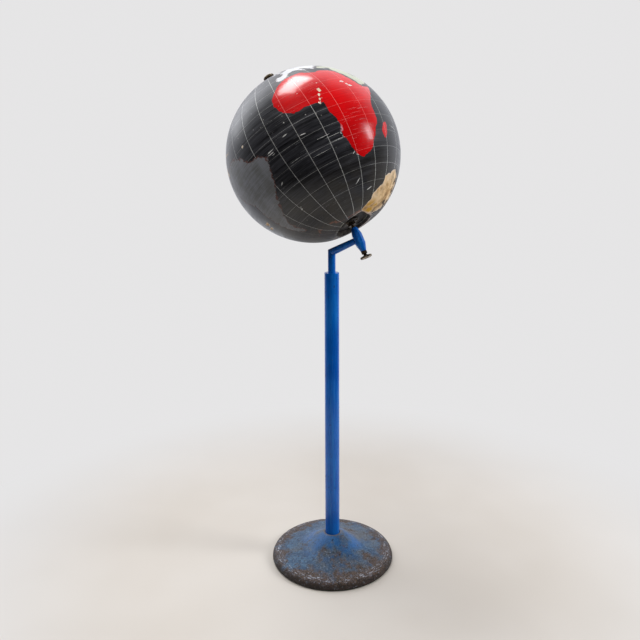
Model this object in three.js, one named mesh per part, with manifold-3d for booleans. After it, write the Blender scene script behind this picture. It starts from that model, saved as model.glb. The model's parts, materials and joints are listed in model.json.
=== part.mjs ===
// A school slate globe on a pedestal: a round cast base, a tube post, a cranked arm
// that swivels in the post, and a globe that spins on a tilted axle held in the arm's boss.
// Millimetres, +Z up. The origin is on the floor, on the post's axis. The arm, the boss
// and the polar axis lie in the XZ plane, with the arm reaching out along +X.

import * as THREE from 'three';
import { mergeVertices } from 'three/addons/utils/BufferGeometryUtils.js';
import Module from 'manifold-3d';

const wasm = await Module();
wasm.setup();

// ---- driving dimensions -------------------------------------------------------------

const gap = 0.3; // between neighbouring pieces
const tiny = 0.35; // radial play of a bore on the axle

const baseRadius = 145.9;
const padThickness = 2;
const postRadius = 17.2;
const postWall = 2;
const postTop = 702;
const socketFloor = 24;

const stubRadius = 8.8;
const stubBottom = 604.3;
const elbowHeight = 749.7;
const armRise = THREE.MathUtils.degToRad(24.3); // arm above the horizontal
const armLength = 82; // elbow to boss centre
const armEndRadius = 7.2;

const bossTilt = THREE.MathUtils.degToRad(28); // boss axis from the vertical
const bossLength = 57;
const bossFlat = 11; // axis to flat
const bossTaper = 17;
const bossEndRadius = 6.6;

const axleRadius = 4;
const polarTilt = THREE.MathUtils.degToRad(35.4); // polar axis from the vertical
const bendAboveBoss = 3; // the axle is bent just above the boss
const bendToCentre = 193.1; // from the bend to the globe's centre

const globeRadius = 200;
const shellWall = 5;
const southOpening = 52;
const northHole = 12;
const plateRadius = 71;
const discRadius = 13.5; // thumb nut and pole nut
const nutThickness = 4.8;

const roundSides = 24;
const smallSides = 16;
const globeSides = 48;
const baseSides = 48;
const up = new THREE.Vector3(0, 1, 0);

// ---- colours ------------------------------------------------------------------------

const finish = (color, roughness, metalness) => () =>
  new THREE.MeshStandardMaterial({ color, roughness, metalness });
const bluePaint = finish(0x0f4a9e, 0.4, 0.1);
const wornIron = finish(0x4a6072, 0.65, 0.3);
const slatePaint = finish(0x26272a, 0.45, 0);
const darkWood = finish(0x2a221d, 0.7, 0);
const paleWood = finish(0xa98758, 0.7, 0);
const brass = finish(0xa88a55, 0.35, 0.9);
const steel = finish(0x5f5a54, 0.4, 0.9);
const baize = finish(0x2f4a38, 0.95, 0);

// ---- shapes -------------------------------------------------------------------------

// A body of revolution about +Z. The profile is a list of [radius, height] pairs that goes
// up the outside of the section. It closes on itself, on the axis or round a ring.
function turned(profile, sides = roundSides, start = 0) {
  const points = [...profile, profile[0]].map(([r, z]) => new THREE.Vector2(r, z));
  return new THREE.LatheGeometry(points, sides, start).rotateX(Math.PI / 2);
}

const ring = (inner, outer, low, high, sides) =>
  turned([[inner, low], [outer, low], [outer, high], [inner, high]], sides);

const disc = (radius, low, high, sides) =>
  turned([[0, low], [radius, low], [radius, high], [0, high]], sides);

// A bar along +Z whose two ends are cut by planes that lean in X by the given slopes.
function bar(lowRadius, highRadius, low, high, lowSlope, highSlope) {
  const geometry = new THREE.CylinderGeometry(highRadius, lowRadius, 1, roundSides);
  geometry.rotateX(Math.PI / 2);
  const p = geometry.attributes.position;
  for (let i = 0; i < p.count; i++) {
    const top = p.getZ(i) > 0;
    p.setZ(i, top ? high + p.getX(i) * highSlope : low + p.getX(i) * lowSlope);
  }
  return geometry;
}

function toSolid(geometry) {
  const bare = geometry.clone();
  bare.deleteAttribute('normal');
  bare.deleteAttribute('uv');
  const merged = mergeVertices(bare, 1e-4);
  return new wasm.Manifold(new wasm.Mesh({
    numProp: 3,
    vertProperties: new Float32Array(merged.attributes.position.array),
    triVerts: new Uint32Array(merged.index.array),
  }));
}

function toGeometry(solid) {
  const mesh = solid.getMesh();
  const geometry = new THREE.BufferGeometry();
  geometry.setAttribute('position', new THREE.BufferAttribute(mesh.vertProperties, 3));
  return geometry.setIndex(new THREE.BufferAttribute(mesh.triVerts, 1));
}

function cut(geometry, ...tools) {
  return toGeometry(tools.reduce((solid, tool) => solid.subtract(toSolid(tool)), toSolid(geometry)));
}

const join = (a, b) => toGeometry(toSolid(a).add(toSolid(b)));

function piece(parent, name, geometry, material) {
  const mesh = new THREE.Mesh(geometry, material());
  mesh.name = name;
  parent.add(mesh);
  return mesh;
}

// ---- frames -------------------------------------------------------------------------

const globeStand = new THREE.Group();

const elbow = new THREE.Vector3(0, 0, elbowHeight);
const armAxis = new THREE.Vector3(Math.cos(armRise), 0, Math.sin(armRise));
const bossAxis = new THREE.Vector3(-Math.sin(bossTilt), 0, Math.cos(bossTilt));
const polarAxis = new THREE.Vector3(-Math.sin(polarTilt), 0, Math.cos(polarTilt));
const bossCentre = elbow.clone().addScaledVector(armAxis, armLength);
const bend = bossCentre.clone().addScaledVector(bossAxis, bossLength / 2 + bendAboveBoss);
const globeCentre = bend.clone().addScaledVector(polarAxis, bendToCentre);

function leaningFrame(origin, lean) {
  const frame = new THREE.Group();
  frame.position.copy(origin);
  frame.rotation.y = lean;
  globeStand.add(frame);
  return frame;
}

const armFrame = leaningFrame(elbow, Math.PI / 2 - armRise);
const bossFrame = leaningFrame(bossCentre, -bossTilt);
const polarFrame = leaningFrame(globeCentre, -polarTilt);

// ---- base and post ------------------------------------------------------------------

function buildBase() {
  const casting = [
    [baseRadius, 2.3], [baseRadius, 7], [144.4, 12], [140.5, 16.4], [133, 19.6], [124, 21.6],
    [104, 24.2], [84, 27.4], [70, 31.2], [57, 38.2], [45, 46.8], [34, 54.6], [26, 60], [21, 62.4],
    [postRadius + gap, 62.4], [postRadius + gap, socketFloor], [6.4, socketFloor], [6.4, 14],
    [34, 14], [40, 18.5], [60, 19.6], [100, 14.6], [131, 10], [134, 2.3],
  ];
  piece(globeStand, 'baize_pad', disc(143, 0, padThickness, baseSides), baize);
  piece(globeStand, 'base_casting', turned(casting, baseSides), wornIron);
  piece(globeStand, 'base_washer', ring(6.4, 26, 11.2, 13.7), steel);

  const headLow = 3.4;
  const headHigh = 10.9;
  const head = disc(11, headLow, headHigh, 6);
  const shank = disc(6, headHigh - 1, 58, smallSides);
  piece(globeStand, 'base_bolt', join(head, shank), steel);
}

function buildPost() {
  const bore = postRadius - postWall;
  const fitted = bore - gap;
  piece(globeStand, 'post_tube', ring(bore, postRadius, socketFloor + gap, postTop), bluePaint);
  piece(globeStand, 'post_plug', ring(6.3, fitted, socketFloor + 2 * gap, 66), steel);
  piece(globeStand, 'swivel_plug', disc(fitted, stubBottom - 15, stubBottom - gap), steel);
  piece(globeStand, 'post_bush', ring(stubRadius + gap, fitted, 640, postTop - 0.5), bluePaint);
}

// ---- arm, boss and axle -------------------------------------------------------------

function buildArm() {
  const mitre = Math.tan((Math.PI / 2 - armRise) / 2);
  const upright = bar(stubRadius, stubRadius, stubBottom, elbowHeight, 0, -mitre);
  piece(globeStand, 'arm_upright', upright, bluePaint);

  const offSquare = bossTilt - armRise;
  const armEnd = armLength - (bossFlat + gap) / Math.cos(offSquare);
  const armBar = bar(stubRadius, armEndRadius, 0.4, armEnd, mitre, Math.tan(offSquare));
  piece(armFrame, 'arm_bar', armBar, bluePaint);

  const half = bossLength / 2;
  const corner = bossFlat / Math.cos(Math.PI / 8);
  const outline = [
    [0, -half], [bossEndRadius, -half], [corner, bossTaper - half],
    [corner, half - bossTaper], [bossEndRadius, half], [0, half],
  ];
  const octagon = turned(outline, 8, Math.PI / 8);
  const bore = disc(axleRadius + tiny, -bossLength, bossLength, smallSides);
  piece(bossFrame, 'axle_boss', cut(octagon, bore), bluePaint);
}

// The axle is one rod: straight through the boss, bent once just above it, then
// straight along the polar axis to the pole nut.
function buildAxle() {
  const tail = bossLength / 2 + bendAboveBoss + 46;
  const reach = bendToCentre + 231;
  const rod = new THREE.CylinderGeometry(axleRadius, axleRadius, 2, smallSides, 2);
  rod.rotateX(Math.PI / 2);
  const p = rod.attributes.position;
  const v = new THREE.Vector3();
  for (let i = 0; i < p.count; i++) {
    v.fromBufferAttribute(p, i);
    const level = Math.round(v.z);
    v.z = level < 0 ? -tail : level * reach;
    const turn = [-bossTilt, -(bossTilt + polarTilt) / 2, -polarTilt][level + 1];
    v.applyAxisAngle(up, turn).add(bend);
    p.setXYZ(i, v.x, v.y, v.z);
  }
  piece(globeStand, 'axle_rod', rod, steel);

  const nutTop = -bossLength / 2 - gap;
  const hexagon = new THREE.Shape();
  for (let i = 0; i < 6; i++) {
    const angle = (i * Math.PI) / 3;
    const method = i === 0 ? 'moveTo' : 'lineTo';
    hexagon[method](7.2 * Math.cos(angle), 7.2 * Math.sin(angle));
  }
  hexagon.closePath();
  hexagon.holes.push(new THREE.Path().absarc(0, 0, axleRadius + tiny, 0, 2 * Math.PI, true));
  const hexNut = new THREE.ExtrudeGeometry(hexagon, {
    depth: 6.5, bevelEnabled: false, curveSegments: smallSides,
  });
  hexNut.translate(0, 0, nutTop - 6.5);
  piece(bossFrame, 'lock_nut', hexNut, steel);

  const collar = ring(axleRadius + tiny, 9, -190.4, -184.4, smallSides);
  const screwHole = disc(2.3, 0, 12, 12).rotateY(Math.PI / 2).translate(0, 0, -187.4);
  piece(polarFrame, 'axle_collar', cut(collar, screwHole), steel);
  const screw = disc(2, axleRadius + tiny, 9.4, 12).rotateY(Math.PI / 2).translate(0, 0, -187.4);
  piece(polarFrame, 'collar_screw', screw, steel);
  piece(polarFrame, 'thrust_washer', ring(axleRadius + tiny, 9.5, -184.1, -182.8), brass);
  piece(polarFrame, 'pole_washer', ring(axleRadius + tiny, 9, 225.7, 227.1), steel);
}

// ---- hand nuts ----------------------------------------------------------------------

function buildNuts() {
  const bore = axleRadius + tiny;
  const top = -40.6;
  const bottom = top - nutThickness;
  const rim = 1;
  const thumb = [
    [bore, bottom], [discRadius - rim, bottom], [discRadius, bottom + rim],
    [discRadius, top - rim], [discRadius - rim, top], [bore, top],
  ];
  piece(bossFrame, 'thumb_nut', turned(thumb), brass);
  piece(bossFrame, 'thumb_washer', ring(bore, 6.4, top + gap, top + 1.6), steel);

  const low = 227.4;
  const high = low + nutThickness;
  const cap = [
    [bore, low], [discRadius - rim, low], [discRadius, low + rim], [discRadius, high - rim],
    [discRadius - rim, high], [7, high + 1.2], [0, high + 1.8], [0, high - 0.8], [bore, high - 0.8],
  ];
  piece(polarFrame, 'pole_nut', turned(cap), brass);
}

// ---- globe --------------------------------------------------------------------------

// Points of a half-meridian from one latitude to another, on a sphere about the origin.
function meridian(radius, fromLatitude, toLatitude, steps) {
  return Array.from({ length: steps + 1 }, (_, i) => {
    const latitude = fromLatitude + ((toLatitude - fromLatitude) * i) / steps;
    return [radius * Math.cos(latitude), radius * Math.sin(latitude)];
  });
}

// A hemisphere shell with a round hole at its pole. It is built pole up.
function hemisphere(holeRadius) {
  const equator = 0.5 * gap / globeRadius;
  const inner = globeRadius - shellWall;
  const outside = meridian(globeRadius, equator, Math.acos(holeRadius / globeRadius), 10);
  const inside = meridian(inner, Math.acos(holeRadius / inner), equator, 6);
  return turned([...outside, ...inside], globeSides);
}

function buildGlobe() {
  const flip = (geometry) => geometry.rotateX(Math.PI);
  piece(polarFrame, 'north_shell', hemisphere(northHole), slatePaint);
  piece(polarFrame, 'south_shell', flip(hemisphere(southOpening)), slatePaint);
  piece(polarFrame, 'equator_hoop', ring(185, 191.6, -20, 20, globeSides), paleWood);
  piece(polarFrame, 'core_pillar', ring(10, 24, -166.9, 167.5), paleWood);
  piece(polarFrame, 'north_plate', ring(8.3, plateRadius, 167.8, 179.8), paleWood);

  const screwCircle = 15;
  const screwAngles = [0, 1, 2].map((i) => (i * 2 * Math.PI) / 3 + Math.PI / 6);
  const atScrews = (make) => screwAngles.map((angle) =>
    make().translate(screwCircle * Math.cos(angle), screwCircle * Math.sin(angle), 0));
  const screwHoles = () => atScrews(() => disc(1.8, -190, -169, 10));

  const bore = axleRadius + tiny;
  const southBush = [
    [bore, -182.5], [20, -182.5], [20, -179.5], [8, -179.5], [8, -162], [bore, -162],
  ];
  piece(polarFrame, 'south_bush', cut(turned(southBush), ...screwHoles()), brass);
  const plate = ring(8.3, plateRadius, -179.2, -167.2);
  piece(polarFrame, 'south_plate', cut(plate, ...screwHoles()), darkWood);
  const screw = () => turned([
    [0, -184.8], [2, -184.6], [3.2, -182.8], [1.5, -182.8], [1.5, -172], [0, -170],
  ], 10);
  atScrews(screw).forEach((geometry, i) => {
    piece(polarFrame, `bush_screw_${i + 1}`, geometry, steel);
  });

  const northHub = [
    [bore, 160], [8, 160], [8, 200.4], [20, 200.4], [20, 203.4], [11.5, 205.6],
    [8.6, 210], [7.8, 216], [8.8, 222], [10, 225.4], [bore, 225.4],
  ];
  piece(polarFrame, 'north_hub', turned(northHub), brass);
}

buildBase();
buildPost();
buildArm();
buildAxle();
buildNuts();
buildGlobe();

export default globeStand;
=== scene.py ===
"""A worn school slate globe on a blue pedestal: the looks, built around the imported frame.

Metres, +Z up, origin on the floor under the post. The arm reaches out along +X.
"""

import json
import random
from math import acos, asin, cos, dist, hypot, pi, radians, sin, sqrt, tan

import bmesh
import bpy
import numpy as np
from mathutils import Matrix, Vector, noise


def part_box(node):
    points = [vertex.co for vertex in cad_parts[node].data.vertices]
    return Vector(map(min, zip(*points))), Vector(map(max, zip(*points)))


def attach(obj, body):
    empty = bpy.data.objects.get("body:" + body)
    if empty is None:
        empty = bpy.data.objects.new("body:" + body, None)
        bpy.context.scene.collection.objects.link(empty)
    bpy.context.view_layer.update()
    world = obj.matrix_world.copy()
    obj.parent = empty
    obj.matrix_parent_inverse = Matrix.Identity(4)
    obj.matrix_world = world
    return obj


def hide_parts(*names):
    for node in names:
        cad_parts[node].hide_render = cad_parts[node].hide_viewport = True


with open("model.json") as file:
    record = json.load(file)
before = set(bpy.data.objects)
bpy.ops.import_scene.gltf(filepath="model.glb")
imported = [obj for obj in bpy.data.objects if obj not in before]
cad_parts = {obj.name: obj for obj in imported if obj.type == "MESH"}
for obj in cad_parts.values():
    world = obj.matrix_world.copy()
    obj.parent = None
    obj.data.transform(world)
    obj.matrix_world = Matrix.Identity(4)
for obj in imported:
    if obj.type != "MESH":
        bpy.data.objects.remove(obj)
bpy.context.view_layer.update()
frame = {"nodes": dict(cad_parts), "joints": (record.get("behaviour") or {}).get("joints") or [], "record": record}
MM = 0.001
scene = bpy.context.scene
joints = {joint["name"]: joint for joint in frame["joints"]}

# ---- places, from the frame --------------------------------------------------------------


def standing(origin, axis, spin=0.0):
    """A frame at origin with its Z along axis, its X in the arm's plane, then turned by spin."""
    z = Vector(axis).normalized()
    x = Vector((0, 1, 0)).cross(z).normalized()
    turn = Matrix((x, z.cross(x), z)).transposed().to_4x4()
    return Matrix.Translation(Vector(origin)) @ turn @ Matrix.Rotation(spin, 4, "Z")


POLAR_AXIS = Vector(joints["globe_spin"]["axis"]).normalized()
GLOBE_CENTRE = Vector(joints["globe_spin"]["pos_m"])
BOSS_UP = -Vector(joints["thumb_nut_turn"]["axis"]).normalized()
NUT_CENTRE = Vector(joints["thumb_nut_turn"]["pos_m"])
NUT_DROP = 43  # millimetres from the middle of the boss to the hand nut
BOSS_CENTRE = NUT_CENTRE + BOSS_UP * NUT_DROP * MM
PRIME_MERIDIAN = radians(-44.9)  # where the map's zero meridian stands at rest

UPRIGHT = Matrix.Identity(4)
POLAR = standing(GLOBE_CENTRE, POLAR_AXIS)
MAP = standing(GLOBE_CENTRE, POLAR_AXIS, PRIME_MERIDIAN)
BOSS = standing(BOSS_CENTRE, BOSS_UP)

GLOBE_RADIUS = 200 * MM
SHELL_WALL = 5 * MM
NORTH_HOLE = 12 * MM
POST_RADIUS = (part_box("post_tube")[1].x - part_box("post_tube")[0].x) / 2
POST_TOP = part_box("post_tube")[1].z
STUB_RADIUS = 8.8 * MM
AXLE_RADIUS = 4 * MM

# ---- the map: outlines in degrees east and north -----------------------------------------

AFRICA = [
    (-10, 33.6), (-4.3, 36), (3, 36.8), (10, 37), (13, 33.5), (19, 31.2), (22, 33), (30, 31.2),
    (33.5, 29.5), (35.5, 25), (38, 19.5), (40.5, 15), (43.5, 11.8), (48, 11.6), (52.5, 13.2),
    (50, 9), (46, 4.5), (41.8, -0.5), (38.8, -5.5), (39.4, -11), (38.6, -15.5), (34.6, -19.8),
    (33.8, -24), (31, -25.2), (29.6, -29.6), (24.5, -33), (18.6, -34.2), (15.2, -32),
    (12.4, -26), (10.9, -21), (8.9, -18.4), (10.8, -13), (10, -7), (7.6, -2), (8.6, 4),
    (4.5, 5.8), (-4, 6.4), (-10, 5.4), (-15, 8.6), (-18.6, 14.2), (-19.7, 18.8), (-18, 24.3),
    (-14.3, 28.8),
]
MADAGASCAR = [(47.2, -14.4), (48.5, -17), (46.6, -22), (44, -25.6), (41.6, -23), (41.3, -20.4), (43.4, -17)]
SOUTH_AMERICA = [
    (-78.6, 10.2), (-71.4, 11), (-64.3, 9.6), (-59.3, 6.6), (-55, 4.4), (-53, -1), (-47, -1.7),
    (-42, -3.4), (-38.4, -6.4), (-39.2, -10), (-42, -15.7), (-45, -22.6), (-50.5, -27),
    (-55.5, -34), (-63, -39.6), (-67, -44.3), (-69, -50.8), (-66, -54.6), (-71.4, -55.4),
    (-76.6, -49.5), (-76, -39), (-73.6, -29), (-73.4, -20), (-79, -15.7), (-82.4, -8.6),
    (-83, -2.9), (-81, 4.5),
]
EUROPE = [
    (-9.5, 37), (-6, 36.2), (-1, 37.5), (0.5, 40.5), (3.5, 43), (8.5, 44.2), (11, 42.5),
    (15.5, 38.2), (16.5, 40), (13, 45), (16, 43.5), (19.5, 41), (22, 37), (24, 38.5), (23.5, 40.5),
    (27, 41), (29, 45), (33, 46), (39, 47.2), (48, 46), (52, 51), (60, 54), (61, 60), (66, 68),
    (60, 69), (50, 68), (44, 66.5), (38, 65), (34, 67), (41, 67.5), (32, 70), (25, 71), (18, 69),
    (12, 65), (6, 61.5), (6, 58.5), (9, 59), (12, 56.5), (15, 56.5), (18.5, 61), (22, 65.5),
    (25, 65), (22, 61), (29, 60), (24, 58.5), (21, 56.5), (19, 54.5), (12, 54.3), (10.5, 57.5),
    (8.2, 55.5), (7, 53.5), (3, 51.3), (-1.5, 49.5), (-4.5, 48.3), (-1.2, 46), (-2, 43.4),
    (-9, 43.2),
]
BRITAIN = [(-5.5, 50.2), (1.2, 51.2), (0.3, 53), (-2, 55.5), (-2, 57.5), (-5, 58.5), (-6, 56.5), (-3.2, 54.5)]
IRELAND = [(-10, 52), (-6.2, 52.3), (-6, 54.5), (-8.2, 55.2), (-10, 54)]
ICELAND = [(-24, 65.5), (-18, 66.4), (-14, 65), (-18, 63.4), (-22.5, 64)]
ASIA = [
    (26.5, 39.5), (27.5, 36.8), (32, 36.2), (36, 36.5), (34.5, 31.5), (34.8, 29.5), (37.5, 24.5),
    (40.5, 19.5), (43.2, 14), (45, 12.8), (52, 15.5), (58, 20), (59.8, 22.5), (56.4, 26),
    (51.5, 24.5), (48.2, 29.8), (51, 28), (56.5, 27), (61.5, 25.3), (67, 24.8), (70, 21),
    (72.8, 19), (76.5, 9), (79.5, 10.5), (80.5, 15.5), (86.5, 20.5), (91, 22.5), (94.5, 16.5),
    (98, 14.5), (98.8, 9), (101, 3), (103.8, 1.5), (103, 6), (99.8, 10), (101, 13), (105, 9),
    (109, 12.5), (106, 19.5), (109, 21.5), (115, 22.5), (120, 26), (121.8, 31), (119.5, 35),
    (122, 37), (118, 39), (121.5, 40.5), (125, 39.5), (126.5, 34.8), (129.3, 36), (127.8, 40),
    (133, 43), (140, 48.5), (141, 53), (136, 54.5), (143, 59.2), (155, 59.5), (157, 51.5),
    (163, 57), (170, 60), (179, 62.5), (179, 69), (160, 70), (140, 72.5), (113, 75.5), (100, 77),
    (80, 73), (70, 73), (66, 68), (61, 60), (60, 54), (52, 51), (51, 47), (53, 42), (54, 37.2),
    (49.2, 37.6), (49.8, 40.3), (47, 43), (47, 45.5), (40, 46.5), (37.5, 44.7), (41.5, 41.8),
    (35, 42), (29, 41.2),
]
JAPAN = [(130, 31.5), (135.5, 33.6), (140, 35.2), (141.8, 39.5), (145, 43.5), (142, 45.3), (140, 41.5), (137, 37)]
SUMATRA = [(95.5, 5.5), (100, 2), (104, -2), (106, -6), (114, -7.7), (114, -8.7), (105, -7), (101, -3)]
BORNEO = [(109.2, 1.5), (113, 3.5), (117, 7), (119, 5), (117.5, 0), (115.5, -4), (110.2, -2.8)]
PHILIPPINES = [(120.5, 18.3), (122, 14), (126, 9.5), (125.5, 6), (122.3, 7.5), (120, 14.5)]
CELEBES = [(119, -5.5), (121, -2), (125, 1.5), (120, 1), (119, -3)]
CEYLON = [(79.8, 9.5), (81.8, 7), (80.3, 5.9)]
NEW_GUINEA = [(131, -1), (138, -1.8), (146, -5.5), (150.5, -10.5), (144, -8), (138, -8.3), (135, -4)]
AUSTRALIA = [
    (113.8, -22.5), (117, -20.6), (122, -18), (126, -14), (130, -11.8), (136.8, -12.2),
    (135.6, -15), (140.8, -17.5), (142.5, -10.8), (145.5, -15), (149, -20.5), (153.2, -26),
    (152.8, -31.5), (150, -37.3), (146.5, -39), (140.5, -38), (138, -34.5), (135.5, -34.8),
    (131, -31.5), (124, -33), (118, -35), (115, -34), (115.5, -31),
]
TASMANIA = [(144.8, -40.8), (148.3, -41), (147, -43.5)]
NEW_ZEALAND = [(172.7, -34.5), (178.3, -37.7), (175, -41.5), (171, -44.5), (167, -46.5), (170.5, -43), (174, -39.5)]
NORTH_AMERICA = [
    (-168, 65.5), (-156, 71), (-140, 69.8), (-128, 70.2), (-115, 68.5), (-96, 68.5), (-94, 72),
    (-88, 68.5), (-82, 69.5), (-81.5, 67), (-87, 64.5), (-94, 60), (-92.5, 57), (-85, 55.3),
    (-80, 51.3), (-78.5, 55), (-77, 60), (-78, 62.5), (-70, 61), (-65, 58.5), (-56, 52.5),
    (-60, 50.2), (-66, 50), (-65, 47), (-61, 46), (-66, 43.8), (-70, 43.5), (-70.5, 41.8),
    (-74, 40.5), (-76, 36.5), (-81.3, 31), (-80.2, 25.8), (-82.5, 28.5), (-84.5, 30), (-90, 29.5),
    (-97.5, 25.5), (-97.5, 21.5), (-95, 18.5), (-91, 18.8), (-90, 21.3), (-87, 21.3), (-88.5, 16),
    (-83.5, 15), (-83.5, 10.8), (-80, 9.3), (-80, 7.5), (-83.5, 8.5), (-87.5, 12.8),
    (-94.5, 16.2), (-101, 17.5), (-105.5, 20.3), (-108.5, 25.3), (-114, 31), (-110, 24.5),
    (-112.3, 26), (-115.5, 30), (-120.7, 34.6), (-124, 40), (-124, 46.5), (-127, 50.5),
    (-132, 55.5), (-139, 59.5), (-147, 61), (-152, 59), (-162.5, 55), (-158, 58.7),
    (-162, 59.5), (-165.5, 62), (-161, 64.5),
]
GREENLAND = [
    (-73, 78), (-60, 82), (-30, 83.5), (-18, 80), (-20, 74), (-25, 70), (-38, 66), (-43, 60),
    (-50, 62), (-54, 67), (-54, 71), (-60, 75.5),
]
BAFFIN = [(-80, 73.5), (-68, 69.5), (-62, 66), (-66, 62.5), (-77, 64.5), (-73, 68), (-88, 71)]
VICTORIA = [(-117, 72), (-105, 73), (-102, 69), (-114, 69.3)]
CUBA = [(-84.5, 22), (-80, 23.4), (-74.3, 20.3), (-78, 20.4)]
HISPANIOLA = [(-74, 19.8), (-68.5, 19), (-72, 17.8)]
ANTARCTICA = [
    (-180, -77), (-150, -76.5), (-120, -73.5), (-103, -69.5), (-86, -68.2), (-72, -66.5),
    (-62, -63.4), (-50, -64), (-40, -65), (-33, -69.5), (-20, -71.5), (0, -71), (15, -70),
    (30, -69), (50, -66.5), (80, -67), (110, -66), (140, -67), (160, -70), (172, -75),
    (180, -77), (180, -90), (-180, -90),
]
BARE_PLASTER = [
    (15.5, -70), (21, -67.2), (28.6, -63), (31.4, -58.8), (38.6, -55.2), (45, -52.2),
    (45.4, -48), (53, -46.4), (57, -44.6), (63.8, -42.8), (67.5, -44.4), (74, -47), (82, -53),
    (90, -60), (88, -68), (80, -73.5), (66, -75.6), (47, -76.6), (35.7, -76), (24.3, -73.6),
]
BARE_SPOTS = [
    [(9.2, 14.6), (10.6, 14.6), (11.0, 12.8), (9.6, 12.4)],
    [(7.6, 11.2), (8.8, 11.4), (9.0, 9.8), (8.2, 9.0), (7.4, 9.9)],
    [(6.4, 8.0), (7.4, 7.8), (7.2, 6.4), (6.2, 6.6)],
    [(5.0, 5.6), (6.2, 5.6), (6.4, 3.8), (5.2, 4.0)],
    [(-51.6, 11), (-50, 10.6), (-49.8, 9.2), (-51.8, 9.2)],
    [(-90, -30.4), (-84, -30.6), (-82.6, -32), (-84.6, -33.6), (-89, -32.8)],
    [(-96, -33), (-88, -34.4), (-86, -36.2), (-94, -35.6)],
]

LANDS = {
    "red": [AFRICA, MADAGASCAR],
    "slate": [SOUTH_AMERICA],
    "white": [EUROPE, BRITAIN, IRELAND, ICELAND],
    "sage": [ASIA, JAPAN, SUMATRA, BORNEO, PHILIPPINES, CELEBES, CEYLON],
    "ochre": [NORTH_AMERICA, GREENLAND, BAFFIN, VICTORIA, CUBA, HISPANIOLA],
    "rose": [AUSTRALIA, TASMANIA, NEW_ZEALAND, NEW_GUINEA],
    "polar": [ANTARCTICA],
    "bare": [BARE_PLASTER, *BARE_SPOTS],
}
SHARP = {"bare"}  # outlines that keep their corners
FARTHEST = 6.0  # degrees; distances are clipped here

# Short strokes of chalk and scratched paint: east, north, length, width (degrees), and the
# stroke's slope from the parallel.
STROKES = [
    (-34.2, -5.7, 5.4, 0.62, 0.03), (-34.6, -7.1, 4.8, 0.55, 0.02), (-33.4, -8.3, 2.6, 0.3, 0.03),
    (-12.3, -8.1, 4, 0.7, -0.12), (-21.8, -3, 3.4, 0.6, 0.1), (-18.6, 4.1, 0.9, 0.6, 0.4),
    (-44.6, -44, 1.6, 0.7, 0.9), (-43.6, -42.6, 0.8, 0.5, 0.2), (-40.6, -24.6, 3, 0.4, 0.7),
    (10.6, -47.2, 5.4, 0.6, 0.9), (23, -54.4, 4.2, 0.7, 0.4), (-5.4, 1.6, 0.8, 0.4, 0.2),
    (28.8, 16.4, 2.8, 1.7, -0.4), (31, 13.6, 2.2, 1.1, -1.4), (32.4, 12, 3.2, 1.6, -0.3),
    (12.6, -30, 2.4, 0.5, 0.8), (15, -31.8, 2.2, 0.5, -0.6), (8.6, -17, 1.5, 0.6, -2),
    (-2, -14.8, 9, 0.26, 0.02), (4, -16.4, 12, 0.2, 0.01), (6, -19.6, 10, 0.22, 0.03),
    (-24, -18.6, 7, 0.18, 0.02), (-8, -22.8, 14, 0.18, 0.01), (57, -17.6, 9, 0.32, -0.25),
    (-3, 17.6, 0.8, 0.5, 0), (12, 20, 0.9, 0.6, 0.3), (3, 27.8, 0.7, 0.4, 0),
]

# ---- mesh making -------------------------------------------------------------------------


def new_object(name, vertices, faces, place=UPRIGHT, crease=35):
    """An object whose vertices are given along place, smooth except at edges over crease."""
    own = np.array([tuple(v) for v in vertices], float).reshape(-1, 3)
    turn = np.array(place)
    mesh = bpy.data.meshes.new(name)
    mesh.from_pydata((own @ turn[:3, :3].T + turn[:3, 3]).tolist(), [], [tuple(map(int, f)) for f in faces])
    kept = mesh.attributes.new("own", "FLOAT_VECTOR", "POINT")
    kept.data.foreach_set("vector", own.astype(np.float32).ravel())
    mesh.polygons.foreach_set("use_smooth", [True] * len(mesh.polygons))
    mesh.set_sharp_from_angle(angle=radians(crease))
    mesh.update()
    made = bpy.data.objects.new(name, mesh)
    scene.collection.objects.link(made)
    return made


def finish_piece(made, body, slot, *nodes, surface=None):
    """Gives a piece its body and its slot's material or another, and hides the CAD nodes it stands for."""
    made.data.materials.clear()
    made.data.materials.append(surface or SURFACES[slot])
    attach(made, body)
    if nodes:
        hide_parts(*nodes)
    return made


def loop_faces(rows, columns, closed_section=True):
    """Quads between rows of columns points, each row a closed ring."""
    row, column = np.meshgrid(np.arange(rows if closed_section else rows - 1), np.arange(columns), indexing="ij")
    after = (row + 1) % rows
    beside = (column + 1) % columns
    a, b = row * columns + column, row * columns + beside
    c, d = after * columns + beside, after * columns + column
    return np.stack([a, b, c, d], -1).reshape(-1, 4)


def softened(profile, radius, steps=3):
    """A closed outline with each corner rounded off by radius, or by less on a short side."""
    points = [Vector((*p, 0)) for p in profile]
    result = []
    for i, corner in enumerate(points):
        before, after = points[i - 1], points[(i + 1) % len(points)]
        if corner.x < 1e-9:
            result.append((corner.x, corner.y))
            continue
        back, ahead = before - corner, after - corner
        reach = min(radius, back.length * 0.45, ahead.length * 0.45)
        start, end = corner + back.normalized() * reach, corner + ahead.normalized() * reach
        for k in range(steps + 1):
            t = k / steps
            p = start * (1 - t) ** 2 + corner * 2 * t * (1 - t) + end * t * t
            result.append((p.x, p.y))
    return result


def turned(name, profile, place=UPRIGHT, sides=96, soft=0.4 * MM, shape=None, crease=35):
    """A turned piece: a closed section of (radius, height) pairs, up its outside, about Z.

    shape, when given, moves the ring points: it takes and returns arrays of x, y and z.
    """
    section = np.array(softened(profile, soft) if soft else profile, float)
    angle = circle(sides)
    x = section[:, :1] * np.cos(angle)
    y = section[:, :1] * np.sin(angle)
    z = section[:, 1:] + 0 * angle
    if shape:
        x, y, z = shape(x, y, z)
    vertices = np.stack([x, y, z], -1).reshape(-1, 3)
    made = new_object(name, vertices, loop_faces(len(section), sides), place, crease)
    weld(made)
    return made


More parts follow.
